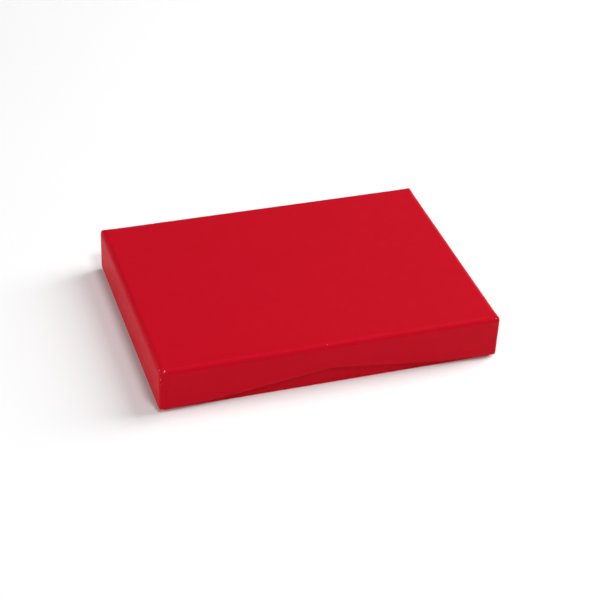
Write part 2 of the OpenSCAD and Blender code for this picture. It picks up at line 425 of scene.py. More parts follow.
def cover_rings(height, fold_r, turn_in, turn_follow):
    """The section of a covering paper: down the outside, round the rim, up the inside, and back unseen."""
    t = WRAP_T
    e = RIM_ROUND
    wall = WALL_T
    full = dict(follow=1.0)
    rings = fold_rings(0, fold_r)
    lap_z = fold_r + LAP_STARTS_BELOW_FOLD
    rings.append(Ring(0, lap_z, lap=1.0, follow=0.02))
    rings += line_rings(0, lap_z, 0, height - e, WALL_STEPS, (False, True), (0.02, 1.0), lap=1.0)
    for i in range(1, RIM_STEPS + 1):
        angle = math.radians(90) * i / RIM_STEPS
        z = height - e * (1 - math.sin(angle))
        rings.append(Ring(e * (1 - math.cos(angle)), z, lap=1 - i / RIM_STEPS, **full))
    for i in range(RIM_STEPS + 1):
        angle = math.radians(90) * i / RIM_STEPS
        rings.append(Ring(wall - e * (1 - math.sin(angle)), height - e * (1 - math.cos(angle)), **full))
    inner = line_rings(wall, height - e, wall, height - turn_in, 5, (False, True), (1.0, turn_follow))
    inner[-1] = inner[-1]._replace(skin=1)
    rings += inner
    rings += line_rings(
        wall - t, height - turn_in, wall - t, height - t, 4, follow=(turn_follow, 1.0), skin=1
    )
    rings += line_rings(t, height - t, t, fold_r, 6, (True, False), (1.0, 0.0), skin=1)
    return rings + fold_rings(t, fold_r, True, skin=1)


def board_rings(height, fold_r):
    """The section of a folded board, inside its covering paper."""
    t = WRAP_T + SKIN_GAP
    back = WRAP_T + BOARD_T - SKIN_GAP
    inner_fold = 0.2 * MM
    rings = fold_rings(t, fold_r)
    rings += line_rings(t, fold_r, t, height - t, WALL_STEPS, (False, True), (0.0, 1.0), lap=1.0)
    rings += line_rings(back, height - t, back, back + inner_fold, WALL_STEPS, follow=(1.0, 0.0))
    for i in range(1, 4):
        angle = math.radians(90) * i / 3
        inset = back + inner_fold * (1 - math.cos(angle))
        rings.append(Ring(inset, back + inner_fold * (1 - math.sin(angle))))
    return rings


def make_lid_wrap():
    rings = cover_rings(LID_H, LID_FOLD_R, LID_TURN_IN, 0.2)
    obj = sweep("lid_cover_paper", LID_HW, LID_HD, LID_CORNER_R, rings, LID_STATIONS, lid_place)
    set_wear_and_glint(obj, LID_HW, LID_HD, LID_TOP, 0.3 * LID_FOLD_R)
    return obj


def rebate_place(place, half_w, half_d, leg, low, high):
    """Placing that also presses the corner tape's bed into the board's wall."""

    def placed(x, y, ring, column):
        point = place(x, y, ring._replace(lap=0.0), column)
        near_x = half_w - abs(x) < leg + REBATE_MARGIN
        near_y = half_d - abs(y) < leg + REBATE_MARGIN
        if ring.lap and near_x and near_y and low < point.z < high:
            if half_d - abs(y) < 1 * MM:
                point.y -= math.copysign(TAPE_BED, y)
            if half_w - abs(x) < 1 * MM:
                point.x -= math.copysign(TAPE_BED, x)
        return point

    return placed


def make_lid_board(leg):
    low = LID_BOARD_Z0 + STAY_INSET - REBATE_MARGIN
    high = LID_BOARD_TOP - STAY_INSET + REBATE_MARGIN
    place = rebate_place(lid_place, LID_HW, LID_HD, leg, low, high)
    rings = board_rings(LID_H, LID_FOLD_R)
    return sweep("lid_greyboard", LID_HW, LID_HD, LID_CORNER_R, rings, LID_STATIONS, place)


def make_liner(name, node, place, gap):
    """A lining paper, cut a little short of the walls round it."""
    half_w, half_d, low, high = read_box(node)
    round_r = 0.05 * MM
    rings = [
        Ring(gap + round_r, high),
        Ring(gap, high - round_r),
        Ring(gap, low + round_r),
        Ring(gap + round_r, low),
    ]
    return sweep(name, half_w, half_d, 0.6 * MM, rings, Stations(even(40), even(28), 3), place)


def liner_place_lid(x, y, ring, column):
    return settled(x, y, ring.z)


def make_stay(name, node, skin_r, place):
    """Corner tape: a strip bent round one upright corner of the board, under the covering paper."""
    low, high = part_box(node)
    side_x = 1 if high.x > 0 else -1
    side_y = 1 if high.y > 0 else -1
    outer_x = max(abs(low.x), abs(high.x)) - SKIN_GAP
    outer_y = max(abs(low.y), abs(high.y)) - SKIN_GAP
    leg = high.x - low.x
    arc_steps = 8
    leg_steps = 8
    height_steps = 8

    def path(inset):
        r = skin_r - inset
        ax = outer_x - skin_r
        ay = outer_y - skin_r
        run = leg - skin_r
        points = [(outer_x - leg + run * i / leg_steps, outer_y - inset) for i in range(leg_steps)]
        for i in range(arc_steps + 1):
            angle = math.radians(90) * (1 - i / arc_steps)
            points.append((ax + r * math.cos(angle), ay + r * math.sin(angle)))
        points += [(outer_x - inset, ay - run * (i + 1) / leg_steps) for i in range(leg_steps)]
        return points

    bm = bmesh.new()
    outside = path(0)
    inside = path(TAPE_T)
    section = outside + inside[::-1]
    rows = []
    for k in range(height_steps + 1):
        z = low.z + (high.z - low.z) * k / height_steps
        rows.append([bm.verts.new(place(side_x * x, side_y * y, z)) for x, y in section])
    count = len(section)
    for below, above in zip(rows, rows[1:]):
        for i in range(count):
            j = (i + 1) % count
            bm.faces.new((below[i], below[j], above[j], above[i]))
    for row in (rows[0], rows[-1]):
        for i in range(count // 2 - 1):
            bm.faces.new((row[i], row[i + 1], row[count - 2 - i], row[count - 1 - i]))
    return mesh_object(name, bm)


# ---------------------------------------------------------------- the base's shape


def base_place(x, y, ring, column):
    x, y, z = tightened(x, y, BASE_HW, BASE_HD, ring, column)
    y -= math.copysign(LAP_T * ring.lap * lap_of(column, BASE_HW), y)
    return Vector((x, y, z))


def make_base_wrap():
    rings = cover_rings(BASE_H, BASE_FOLD_R, BASE_TURN_IN, 0.0)
    obj = sweep("base_cover_paper", BASE_HW, BASE_HD, BASE_CORNER_R, rings, BASE_STATIONS, base_place)
    set_wear_and_glint(obj, BASE_HW, BASE_HD, BASE_H, RIM_ROUND / 2)
    return obj


def make_base_board(leg):
    low = WRAP_T + STAY_INSET - REBATE_MARGIN
    high = BASE_H - WRAP_T - STAY_INSET + REBATE_MARGIN
    place = rebate_place(base_place, BASE_HW, BASE_HD, leg, low, high)
    rings = board_rings(BASE_H, BASE_FOLD_R)
    return sweep("base_greyboard", BASE_HW, BASE_HD, BASE_CORNER_R, rings, BASE_STATIONS, place)


# ---------------------------------------------------------------- tray, frame and pad


def make_foam_tape(name, node):
    """A strip of foam mounting tape: a film face above and below, and a foam core that bulges a little."""
    low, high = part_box(node)
    centre = (low + high) / 2
    half = (high - low) / 2
    bulge = 0.15 * MM
    steps = 8
    rings = [Ring(0.1 * MM, low.z, skin=1), Ring(0.02 * MM, low.z + 0.05 * MM)]
    for i in range(1, steps):
        share = i / steps
        inset = -bulge * math.sin(math.pi * share) + bulge
        rings.append(Ring(inset, low.z + 2 * half.z * share))
    rings += [Ring(0.02 * MM, high.z - 0.05 * MM, skin=1), Ring(0.1 * MM, high.z, skin=1)]

    def place(x, y, ring, column):
        rough = 0.04 * MM * noise.noise(Vector((x, y, ring.z)) / (0.6 * MM))
        inside = low.z + 0.1 * MM < ring.z < high.z - 0.1 * MM
        swell = abs(rough) if inside and column is not None else 0.0
        new_x = centre.x + x - math.copysign(swell, x)
        new_y = centre.y + y - math.copysign(swell, y)
        return Vector((new_x, new_y, ring.z))

    return sweep(name, half.x, half.y, 0.5 * MM, rings, Stations(even(12), even(56), 3), place)


def snap_places():
    """Where the six snap legs stand: (centre of the leg, direction out from the well)."""
    well_hw = TRAY_HW - DECK_W
    well_hd = TRAY_HD - DECK_W
    out = DECK_W / 2
    found = [(Vector((s * (well_hw + out), 0, 0)), Vector((s, 0, 0))) for s in (-1, 1)]
    for s in (-1, 1):
        found += [(Vector((x, s * (well_hd + out), 0)), Vector((0, s, 0))) for x in (-LEG_X, LEG_X)]
    return found


def snap_bar(name, centre, out, across, along, low, high, shift, bevel):
    """A bar across one snap place: across is measured outwards, along follows the deck."""
    size = Vector((across, along, high - low)) if out.x else Vector((along, across, high - low))
    middle = centre + out * shift
    return block(name, (middle.x, middle.y, (low + high) / 2), size, bevel)


def make_tray():
    """The moulded tray: well, deck, outer wall, hollow and ribs beneath, and slots for the snap legs."""
    soft = 0.35 * MM
    deck_edge = 0.5 * MM
    tub_z = WELL_Z - TRAY_WALL
    well_r = 2.4 * MM
    tray_r = 2.5 * MM
    under_deck = DECK_Z - TRAY_WALL
    rings = []
    for i in range(5):
        angle = math.radians(90) * i / 4
        inset = DECK_W + soft * (1 - math.sin(angle))
        rings.append(Ring(inset, WELL_Z + soft * (1 - math.cos(angle)), r=well_r - (inset - DECK_W)))
    for i in range(1, 5):
        rings.append(Ring(DECK_W, WELL_Z + soft + (DECK_Z - soft - WELL_Z - soft) * i / 4, r=well_r))
    for i in range(1, 5):
        angle = math.radians(90) * i / 4
        inset = DECK_W - soft * (1 - math.cos(angle))
        rings.append(Ring(inset, DECK_Z - soft * (1 - math.sin(angle)), r=well_r + (DECK_W - inset)))
    rings.append(Ring(DECK_W / 2, DECK_Z, r=(tray_r + well_r) / 2))
    for i in range(6):
        angle = math.radians(90) * i / 5
        inset = deck_edge * (1 - math.sin(angle))
        rings.append(Ring(inset, DECK_Z - deck_edge * (1 - math.cos(angle)), r=tray_r - inset))
    for i in range(1, 7):
        z = DECK_Z - deck_edge + (FLOOR_Z + soft / 2 - DECK_Z + deck_edge) * i / 6
        rings.append(Ring(0, z, r=tray_r))
    rings.append(Ring(soft / 2, FLOOR_Z, r=tray_r - soft / 2))
    rings.append(Ring(TRAY_WALL - soft / 2, FLOOR_Z, r=tray_r - TRAY_WALL + soft / 2))
    for i in range(6):
        z = FLOOR_Z + soft / 2 + (under_deck - FLOOR_Z - soft / 2) * i / 5
        rings.append(Ring(TRAY_WALL, z, r=tray_r - TRAY_WALL))
    for i in range(5):
        z = under_deck + (tub_z + soft - under_deck) * i / 4
        rings.append(Ring(DECK_W - TRAY_WALL, z, r=well_r + TRAY_WALL))
    for i in range(1, 4):
        angle = math.radians(90) * i / 3
        turned = soft * (1 - math.cos(angle))
        z = tub_z + soft * (1 - math.sin(angle))
        rings.append(Ring(DECK_W - TRAY_WALL + turned, z, r=well_r + TRAY_WALL - turned))
    tray = sweep("moulded_tray", TRAY_HW, TRAY_HD, tray_r, rings, Stations(even(44), even(32), 8))
    well_d = 2 * (TRAY_HD - DECK_W)
    ribs = [
        block(
            "rib", (i * RIB_PITCH, 0, (FLOOR_Z + tub_z) / 2 + 0.15 * MM),
            (TRAY_WALL, well_d - 1 * MM, tub_z - FLOOR_Z + 0.3 * MM), 0.12 * MM,
        )
        for i in (-1, 0, 1)
    ]
    combine(tray, ribs, "UNION")
    slots = [
        snap_bar(
            "slot", centre, out, LEG_T + MOULD_GAP, LEG_W + 2 * MOULD_GAP,
            under_deck - 1 * MM, DECK_Z + 1 * MM, -MOULD_GAP / 2, 0.1 * MM,
        )
        for centre, out in snap_places()
    ]
    combine(tray, slots, "DIFFERENCE")
    return tray


def make_frame():
    """The snap frame: a flat face, a sloping inner lip over the pad's shoulder, and barbed legs."""
    face_edge = 0.35 * MM
    bevel_w = 0.9 * MM
    bevel_h = 0.55 * MM
    lip_h = 0.8 * MM
    frame_r = 1.75 * MM
    margin = TRAY_HW - FRAME_HW
    lip_out = DECK_W + MOULD_GAP - margin
    opening = TRAY_HW - margin - (PAD_HW - SHOULDER_W + PAD_GAP)
    opening_r = 2.4 * MM

    def ring(inset, z, share):
        return Ring(inset, z, r=frame_r + (opening_r - frame_r) * share)

    rings = []
    for i in range(5):
        angle = math.radians(90) * i / 4
        z = FRAME_TOP - face_edge * (1 - math.cos(angle))
        rings.append(ring(face_edge * (1 - math.sin(angle)), z, 0))
    rings = rings[::-1]
    rings.append(ring(opening - bevel_w - 0.15 * MM, FRAME_TOP, 0.8))
    rings.append(ring(opening - bevel_w, FRAME_TOP - 0.05 * MM, 0.85))
    rings.append(ring(opening - 0.1 * MM, FRAME_TOP - bevel_h, 1))
    rings.append(ring(opening, FRAME_TOP - bevel_h - 0.12 * MM, 1))
    rings.append(ring(opening, DECK_Z - lip_h + 0.15 * MM, 1))
    rings.append(ring(opening - 0.15 * MM, DECK_Z - lip_h, 1))
    rings.append(ring(lip_out + 0.15 * MM, DECK_Z - lip_h, 1))
    rings.append(ring(lip_out, DECK_Z - lip_h + 0.15 * MM, 1))
    rings.append(ring(lip_out, DECK_Z, 1))
    rings.append(ring(0.1 * MM, DECK_Z, 0))
    rings.append(ring(0, DECK_Z + 0.1 * MM, 0))
    frame_piece = sweep(
        "snap_frame", FRAME_HW, FRAME_HD, frame_r, rings, Stations(even(44), even(32), 8), closed=True
    )
    barb_top = DECK_Z - TRAY_WALL - SOFT_GAP
    rooted = 0.3 * MM
    shift = LEG_T / 2 + BARB / 2 - rooted / 2
    legs = []
    for centre, out in snap_places():
        legs.append(snap_bar("leg", centre, out, LEG_T, LEG_W, LEG_Z, DECK_Z + 0.5 * MM, 0, 0.12 * MM))
        legs.append(
            snap_bar("barb", centre, out, BARB + rooted, LEG_W, LEG_Z, barb_top, shift, 0.1 * MM)
        )
    combine(frame_piece, legs, "UNION")
    return frame_piece


def pad_crown(x, y, half_w, half_d):
    """How far the felts push the inked surface up: nothing at its edge, CLOTH_CROWN in the middle."""
    u = max(1 - (x / half_w) ** 2, 0)
    v = max(1 - (y / half_d) ** 2, 0)
    return CLOTH_CROWN * (u * v) ** 0.35


def make_felt(name, node, crowned):
    """A felt: a soft slab with rounded edges and a fibrous side."""
    half_w, half_d, low, high = read_box(node)
    soft = 0.6 * MM
    corner = 1.65 * MM
    rings = []
    for i in range(4):
        angle = math.radians(90) * i / 3
        rings.append(Ring(soft * (1 - math.sin(angle)), high - soft * (1 - math.cos(angle))))
    for i in range(1, 6):
        rings.append(Ring(0, high - soft + (low - high + 2 * soft) * i / 5))
    for i in range(1, 4):
        angle = math.radians(90) * i / 3
        rings.append(Ring(soft * (1 - math.cos(angle)), low + soft * (1 - math.sin(angle))))

    def place(x, y, ring, column):
        point = Vector((x, y, ring.z))
        fibre = noise.noise(point / (0.7 * MM)) + 0.5 * noise.noise(point / (0.3 * MM))
        if column is not None:
            point.x -= math.copysign(0.05 * MM * (0.5 + 0.5 * fibre), x)
            point.y -= math.copysign(0.05 * MM * (0.5 + 0.5 * fibre), y)
        if crowned and ring.z > high - soft:
            point.z += pad_crown(x, y, half_w, half_d) * 0.9
        return point

    return sweep(name, half_w, half_d, corner, rings, Stations(even(60), even(42), 5), place)


def make_backing():
    half_w, half_d, low, high = read_box("pad_backing")
    soft = 0.12 * MM
    rings = [
        Ring(soft, high), Ring(soft * 0.3, high - soft * 0.3), Ring(0, high - soft),
        Ring(0, low + soft), Ring(soft * 0.3, low + soft * 0.3), Ring(soft, low),
    ]
    return sweep("backing_card", half_w, half_d, 1.65 * MM, rings, Stations(even(24), even(16), 5))


def cloth_path():
    """The cloth's inner side as (inset, z): over the top, down to the shoulder, down, and in under."""
    crown_r = 1.1 * MM
    turn = 0.7 * MM
    low_turn = 0.5 * MM
    foot = 0.5 * MM
    path = []
    for i in range(6):
        angle = math.radians(90) * i / 5
        inset = SHOULDER_W + crown_r * (1 - math.sin(angle))
        path.append((inset, PAD_TOP - crown_r * (1 - math.cos(angle))))
    for i in range(1, 4):
        path.append((SHOULDER_W, PAD_TOP - crown_r + (SHOULDER_Z + foot - PAD_TOP + crown_r) * i / 3))
    for i in range(1, 4):
        angle = math.radians(90) * i / 3
        inset = SHOULDER_W - foot * (1 - math.cos(angle))
        path.append((inset, SHOULDER_Z + foot * (1 - math.sin(angle))))
    path.append((SHOULDER_W * 0.45, SHOULDER_Z))
    for i in range(5):
        angle = math.radians(90) * i / 4
        path.append((turn * (1 - math.sin(angle)), SHOULDER_Z - turn * (1 - math.cos(angle))))
    for i in range(1, 5):
        path.append((0, SHOULDER_Z - turn + (WELL_Z + low_turn - SHOULDER_Z + turn) * i / 4))
    for i in range(1, 4):
        angle = math.radians(90) * i / 3
        inset = low_turn * (1 - math.cos(angle))
        path.append((inset, WELL_Z + low_turn * (1 - math.sin(angle))))
    for i in range(1, 6):
        path.append((low_turn + (CLOTH_HEM - low_turn) * i / 5, WELL_Z))
    return path


def make_cloth():
    """The cloth. Its inner side follows the CAD solid's outside, so it stands CLOTH_T proud of it."""
    path = cloth_path()
    inner = [Ring(inset, z, r=max(2.0 * MM - 0.25 * inset, 0.8 * MM)) for inset, z in path]
    outer = []
    for index, (inset, z) in enumerate(path):
        before = path[max(index - 1, 0)]
        after = path[min(index + 1, len(path) - 1)]
        along = Vector((after[0] - before[0], after[1] - before[1])).normalized()
        outward = Vector((along.y, -along.x))
        r = max(1.7 * MM - 0.25 * inset, 0.6 * MM)
        outer.append(Ring(inset + outward.x * CLOTH_T, z + outward.y * CLOTH_T, r=r))
    half_w = PAD_HW - SHOULDER_W
    half_d = PAD_HD - SHOULDER_W

    def place(x, y, ring, column):
        point = Vector((x, y, ring.z))
        if ring.z > SHOULDER_Z + 0.8 * MM:
            rise = min((ring.z - SHOULDER_Z - 0.8 * MM) / (1.2 * MM), 1)
            point.z += pad_crown(x, y, half_w, half_d) * rise
        return point

    return sweep(
        "inked_cloth", PAD_HW, PAD_HD, 2 * MM, inner + outer[::-1], Stations(even(92), even(62), 8), place
    )


# ---------------------------------------------------------------- materials


def tone(red, green, blue):
    """A colour given as it looks on a screen, 0 to 255, as the shader's linear one."""
    shown = [c / 255 for c in (red, green, blue)]
    return [c / 12.92 if c <= 0.04045 else ((c + 0.055) / 1.055) ** 2.4 for c in shown] + [1.0]


class Finish:
    """A node material, with short ways to add the nodes that the finishes share."""

    def __init__(self, name, roughness=0.5, ior=1.5, specular=0.5):
        self.material = bpy.data.materials.new(name)
        self.material.use_nodes = True
        self.tree = self.material.node_tree
        self.shader = self.tree.nodes["Principled BSDF"]
        self.shader.inputs["Roughness"].default_value = roughness
        self.shader.inputs["IOR"].default_value = ior
        self.shader.inputs["Specular IOR Level"].default_value = specular
        self.place = self.node("ShaderNodeTexCoord").outputs["Object"]

    def node(self, kind, settings=(), **inputs):
        made = self.tree.nodes.new(kind)
        for key, value in dict(settings).items():
            setattr(made, key, value)
        for key, value in inputs.items():
            self.feed(made.inputs[key.replace("_", " ")], value)
        return made

    def feed(self, socket, value):
        if isinstance(value, bpy.types.NodeSocket):
            self.tree.links.new(value, socket)
        else:
            socket.default_value = value

    def noise(self, size, detail=3.0, roughness=0.5, place=None):
        """Cloudy noise whose lumps are about size across, from 0 to 1."""
        made = self.node("ShaderNodeTexNoise", Scale=1 / size, Detail=detail, Roughness=roughness)
        self.feed(made.inputs["Vector"], place or self.place)
        return made.outputs["Fac"]

    def stretched(self, x, y, z):
        made = self.node("ShaderNodeMapping")
        self.feed(made.inputs["Vector"], self.place)
        made.inputs["Scale"].default_value = (x, y, z)
        return made.outputs["Vector"]

    def span(self, value, low, high, to_low=0.0, to_high=1.0):
        made = self.node("ShaderNodeMapRange", {"interpolation_type": "SMOOTHSTEP"})
        self.feed(made.inputs["Value"], value)
        for key, number in zip(("From Min", "From Max", "To Min", "To Max"), (low, high, to_low, to_high)):
            made.inputs[key].default_value = number
        return made.outputs["Result"]

    def mix(self, share, first, second):
        made = self.node("ShaderNodeMix", {"data_type": "RGBA"})
        self.feed(made.inputs[0], share)
        self.feed(made.inputs[6], first)
        self.feed(made.inputs[7], second)
        return made.outputs[2]

    def math(self, operation, first, second=0.0):
        made = self.node("ShaderNodeMath", {"operation": operation})
        self.feed(made.inputs[0], first)
        self.feed(made.inputs[1], second)
        return made.outputs[0]

    def bump(self, height, depth, under=None):
        made = self.node("ShaderNodeBump", Height=height, Distance=depth, Strength=1.0)
        if under is not None:
            self.feed(made.inputs["Normal"], under)
        return made.outputs["Normal"]

    def done(self, colour, roughness=None, normal=None):
        self.feed(self.shader.inputs["Base Color"], colour)
        if roughness is not None:
            self.feed(self.shader.inputs["Roughness"], roughness)
        if normal is not None:
            self.feed(self.shader.inputs["Normal"], normal)
        return self.material


def cover_paper():
    """Satin coated red paper: an even colour, a fine tooth, and the board's slight unevenness."""
    f = Finish("cover_paper", roughness=0.6, ior=1.26)
    f.shader.inputs["Specular Tint"].default_value = (1.0, 0.16, 0.18, 1.0)
    cloud = f.noise(14 * MM, 2)
    fleck = f.noise(0.35 * MM, 4, 0.6)
    red = f.mix(cloud, tone(182, 4, 26), tone(185, 5, 28))
    red = f.mix(f.math("MULTIPLY", f.span(fleck, 0.55, 0.8), 0.25), red, tone(174, 4, 24))
    # Pale specks at the corners and folds: worn paper core showing, and also a painted glint where the
    # corners catch the light.
    wear_and_glint = f.node("ShaderNodeAttribute", {"attribute_name": "wear_and_glint"}).outputs["Fac"]
    worn_and_glinting = f.span(f.math("ADD", f.noise(0.9 * MM, 3), f.math("MULTIPLY", wear_and_glint, 0.42)), 0.93, 0.99)
    red = f.mix(worn_and_glinting, red, tone(236, 205, 200))
    rough = f.span(f.noise(3 * MM, 3), 0.3, 0.7, 0.58, 0.62)
    tooth = f.bump(f.noise(0.5 * MM, 3, 0.55), 0.003 * MM)
    board = f.bump(f.noise(5 * MM, 2), 0.004 * MM, under=tooth)
    return f.done(red, rough, board)


def paper_core():
    """The uncoated inside of the covering paper, seen at its cut edges."""
    f = Finish("paper_core", roughness=0.85, specular=0.3)
    fibre = f.noise(0.25 * MM, 4, 0.6)
    return f.done(f.mix(fibre, tone(226, 196, 190), tone(240, 226, 220)), None, f.bump(fibre, 0.01 * MM))


def greyboard():
    """Recycled board: grey, with pressed fibres and darker and lighter specks."""
    f = Finish("greyboard", roughness=0.9, specular=0.25)
    fibres = f.noise(0.5 * MM, 5, 0.65, f.stretched(1.0, 0.35, 1.0))
    grey = f.mix(fibres, tone(138, 132, 122), tone(172, 166, 154))
    dark = f.span(f.noise(0.4 * MM, 2), 0.66, 0.72)
    pale = f.span(f.noise(0.7 * MM, 2, 0.5, f.stretched(0.4, 1.0, 1.0)), 0.68, 0.74)
    grey = f.mix(dark, grey, tone(92, 86, 80))
    grey = f.mix(pale, grey, tone(205, 200, 190))
    return f.done(grey, f.span(fibres, 0.3, 0.7, 0.84, 0.95), f.bump(fibres, 0.04 * MM))


def lining_paper():
    """Matt off-white lining paper with a faint cloudy formation."""
    f = Finish("lining_paper", roughness=0.8, specular=0.3)
    cloud = f.noise(2.5 * MM, 4)
    fibre = f.noise(0.3 * MM, 4, 0.6)
    colour = f.mix(cloud, tone(236, 233, 225), tone(244, 242, 236))
    return f.done(colour, f.span(fibre, 0.3, 0.7, 0.76, 0.86), f.bump(fibre, 0.012 * MM))


def corner_tape():
    """Brown gummed paper tape with fine crossing fibres."""
    f = Finish("corner_tape", roughness=0.75, specular=0.3)
    fibre = f.noise(0.4 * MM, 4, 0.6, f.stretched(1.0, 1.0, 0.25))
    return f.done(f.mix(fibre, tone(176, 140, 98), tone(206, 174, 130)), f.span(fibre, 0.3, 0.7, 0.7, 0.82),
                  f.bump(fibre, 0.02 * MM))


def foam():
    """White closed-cell foam: small rounded cells, a little yellowed."""
    f = Finish("foam", roughness=0.85, specular=0.3)
    cells = f.node("ShaderNodeTexVoronoi", {"feature": "F1"}, Scale=1 / (0.35 * MM))
    f.feed(cells.inputs["Vector"], f.place)
    depth = f.span(cells.outputs["Distance"], 0.0, 0.6)
    # Painted shade: each cell's hollow is darker towards its middle, following the same height that the
    # bump uses.
    return f.done(f.mix(depth, tone(214, 210, 196), tone(240, 238, 228)), f.span(depth, 0, 1, 0.78, 0.9),
                  f.bump(depth, 0.08 * MM))


def tape_film():
    """The tape's adhesive film, pale and smooth."""
    f = Finish("tape_film", roughness=0.35)
    cloud = f.noise(1.5 * MM, 3)
    colour = f.mix(cloud, tone(222, 220, 206), tone(236, 234, 222))
    return f.done(colour, f.span(cloud, 0.3, 0.7, 0.3, 0.42), f.bump(cloud, 0.02 * MM))


def moulded_plastic(name, low_tone, high_tone, rough_low, rough_high, grain_depth):
    """Dark moulded plastic with an even spark-eroded grain and faint handling marks."""
    f = Finish(name, roughness=rough_low, ior=1.49)
    grain = f.noise(0.15 * MM, 2, 0.5)
    marks = f.noise(14 * MM, 3, 0.5, f.stretched(1.0, 2.0, 1.0))
    colour = f.mix(marks, low_tone, high_tone)
    return f.done(colour, f.span(marks, 0.35, 0.7, rough_low, rough_high), f.bump(grain, grain_depth))


def backing_card():
    """Stiff buff card with long pressed fibres."""
    f = Finish("backing_card", roughness=0.88, specular=0.25)
    fibres = f.noise(0.6 * MM, 5, 0.6, f.stretched(0.3, 1.0, 1.0))
    specks = f.span(f.noise(0.5 * MM, 2), 0.66, 0.74)
    buff = f.mix(fibres, tone(182, 168, 146), tone(206, 194, 172))
    return f.done(f.mix(specks, buff, tone(136, 118, 96)), None, f.bump(fibres, 0.03 * MM))


def inked_felt():
    """Wool felt soaked in red ink: matted fibres, darker where it holds more."""
    f = Finish("inked_felt", roughness=0.8, specular=0.4)
    f.shader.inputs["Sheen Weight"].default_value = 0.25
    f.shader.inputs["Sheen Roughness"].default_value = 0.5
    matted = f.noise(0.45 * MM, 6, 0.7)
    soak = f.noise(9 * MM, 3)
    red = f.mix(matted, tone(96, 4, 16), tone(150, 10, 28))
    red = f.mix(f.span(soak, 0.35, 0.65, 0.0, 0.5), red, tone(84, 3, 14))
    return f.done(red, f.span(matted, 0.3, 0.7, 0.7, 0.9), f.bump(matted, 0.18 * MM))


def inked_cloth():
    """Plain-woven cloth wet with red ink: crossing threads of uneven thickness."""
    f = Finish("inked_cloth", roughness=0.46, ior=1.4)
    pitch = 0.7 * MM
    parts = f.node("ShaderNodeSeparateXYZ")
    f.feed(parts.inputs[0], f.place)
    x = f.math("ADD", parts.outputs["X"], parts.outputs["Z"])
    y = f.math("ADD", parts.outputs["Y"], parts.outputs["Z"])
    u = f.math("DIVIDE", x, pitch)
    v = f.math("DIVIDE", y, pitch)
    over_u = f.math("SINE", f.math("MULTIPLY", f.math("FRACT", u), math.pi))
    over_v = f.math("SINE", f.math("MULTIPLY", f.math("FRACT", v), math.pi))
    warp = f.math("MULTIPLY", over_u, f.math("ADD", f.math("MULTIPLY", over_v, 0.5), 0.5))
    weft = f.math("MULTIPLY", over_v, f.math("ADD", f.math("MULTIPLY", over_u, 0.5), 0.5))
    cells = f.math("ADD", f.math("FLOOR", u), f.math("FLOOR", v))
    odd = f.math("GREATER_THAN", f.math("FRACT", f.math("MULTIPLY", cells, 0.5)), 0.25)
    even_cells = f.math("SUBTRACT", 1.0, odd)
    weave = f.math("ADD", f.math("MULTIPLY", warp, odd), f.math("MULTIPLY", weft, even_cells))
    slub_x = f.noise(pitch, 1, 0.5, f.stretched(0.06, 1.0, 1.0))
    slub_y = f.noise(pitch, 1, 0.5, f.stretched(1.0, 0.06, 1.0))
    slubs = f.span(f.math("MULTIPLY", f.math("ADD", slub_x, slub_y), 0.5), 0.36, 0.64)
    soak = f.noise(16 * MM, 3)
    # Painted shade: the red darkens from each thread's crown into the valleys between threads, following
    # the weave height that the bump also uses.
    red = f.mix(weave, tone(150, 4, 22), tone(206, 14, 42))
    red = f.mix(f.math("MULTIPLY", slubs, 0.45), red, tone(222, 26, 54))
    red = f.mix(f.span(soak, 0.35, 0.65, 0.0, 0.3), red, tone(158, 4, 24))
    rough = f.span(soak, 0.3, 0.7, 0.4, 0.54)
    return f.done(red, rough, f.bump(weave, 0.08 * MM, under=f.bump(slubs, 0.03 * MM)))


def studio_floor():
    """A plain white light table: it glows a little by the box, and more beyond the lights' reach."""
    f = Finish("studio_floor", roughness=0.9, specular=0.1)
    f.shader.inputs["Emission Color"].default_value = (1.0, 1.0, 1.0, 1.0)
    away = f.node("ShaderNodeVectorMath", {"operation": "LENGTH"})
    f.feed(away.inputs[0], f.place)
    f.feed(f.shader.inputs["Emission Strength"], f.span(away.outputs["Value"], 0.2, 1.2, 0.11, 0.8))
    cloud = f.noise(120 * MM, 2)
    return f.done(f.mix(cloud, tone(231, 231, 231), tone(234, 234, 234)))


# ---------------------------------------------------------------- studio


def make_camera():
    azimuth = math.radians(CAMERA_AZIMUTH)
    elevation = math.radians(CAMERA_ELEVATION)
    roll = math.radians(CAMERA_ROLL)
    level = math.cos(elevation)
    back = Vector((math.sin(azimuth) * level, -math.cos(azimuth) * level, math.sin(elevation)))
    level_right = Vector((0, 0, 1)).cross(back).normalized()
    level_up = back.cross(level_right)
    right = math.cos(roll) * level_right + math.sin(roll) * level_up
    up = math.cos(roll) * level_up - math.sin(roll) * level_right
    data = bpy.data.cameras.new("camera")
    data.sensor_width = SENSOR_MM
    data.lens = CAMERA_LENS_MM
    data.clip_start = 0.05
    data.clip_end = 20
    camera = bpy.data.objects.new("camera", data)
    turn = Matrix((right, up, back)).transposed()
    camera.matrix_world = Matrix.Translation(CAMERA_TARGET + back * CAMERA_DISTANCE) @ turn.to_4x4()
    bpy.context.scene.collection.objects.link(camera)
    bpy.context.scene.camera = camera


def add_softbox(name, place, width, depth, power):
    """A rectangular area light that faces the origin."""
    data = bpy.data.lights.new(name, "AREA")
    data.shape = "RECTANGLE"
    data.size = width
    data.size_y = depth
    data.energy = power
    light = bpy.data.objects.new(name, data)
    light.location = place
    light.rotation_mode = "QUATERNION"
    light.rotation_quaternion = Vector(place).to_track_quat("Z", "Y")
    bpy.context.scene.collection.objects.link(light)


